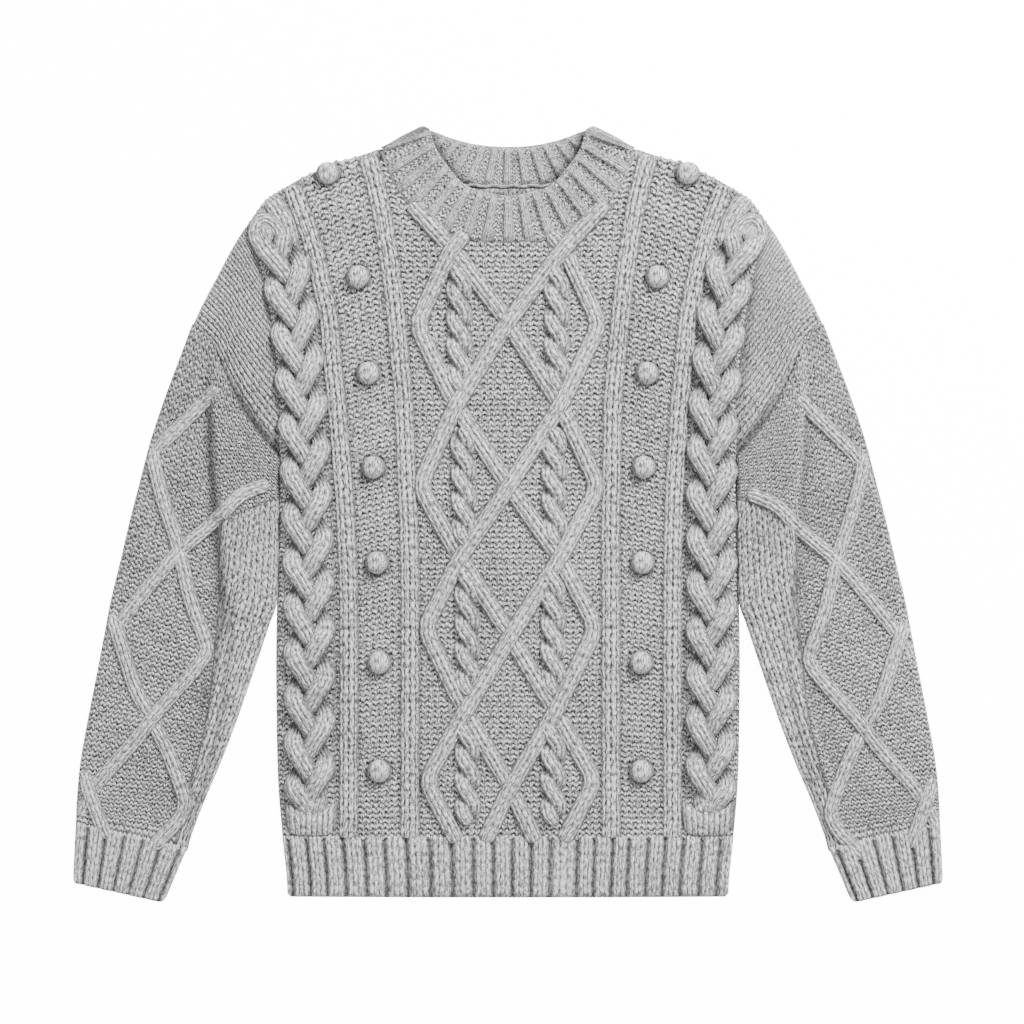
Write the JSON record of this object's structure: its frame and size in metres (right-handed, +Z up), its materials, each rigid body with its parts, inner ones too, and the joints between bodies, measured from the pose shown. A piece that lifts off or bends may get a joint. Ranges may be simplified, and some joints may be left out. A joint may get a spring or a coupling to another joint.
{
  "type": "cable knit sweater",
  "caption": "Light grey cable knit sweater laid flat, with braids, ribs, bobbles, a diamond lattice and ribbed neck, cuffs and hem.",
  "frame": {"origin": "under the middle of the laid garment, on the surface its back rests on", "axes": "+Z up from the surface, +Y towards the neck, +X towards the right sleeve as it is looked at"},
  "size_m": [0.732, 0.6521, 0.0151],
  "materials": {
    "yarn_body": "matt knitted",
    "yarn_rib": "matt ribbed"
  },
  "bodies": {
    "root": {"back": "yarn_body", "front": "yarn_body", "hem_rib_back": "yarn_rib", "hem_rib_front": "yarn_rib", "neckband": "yarn_rib", "sleeve_left": "yarn_body", "cuff_left": "yarn_rib", "sleeve_right": "yarn_body", "cuff_right": "yarn_rib", "bobble_left_1": "yarn_body", "bobble_left_2": "yarn_body", "bobble_left_3": "yarn_body", "bobble_left_4": "yarn_body", "bobble_left_5": "yarn_body", "bobble_left_6": "yarn_body", "bobble_left_7": "yarn_body", "bobble_right_1": "yarn_body", "bobble_right_2": "yarn_body", "bobble_right_3": "yarn_body", "bobble_right_4": "yarn_body", "bobble_right_5": "yarn_body", "bobble_right_6": "yarn_body", "bobble_right_7": "yarn_body"}
  },
  "joints": []
}
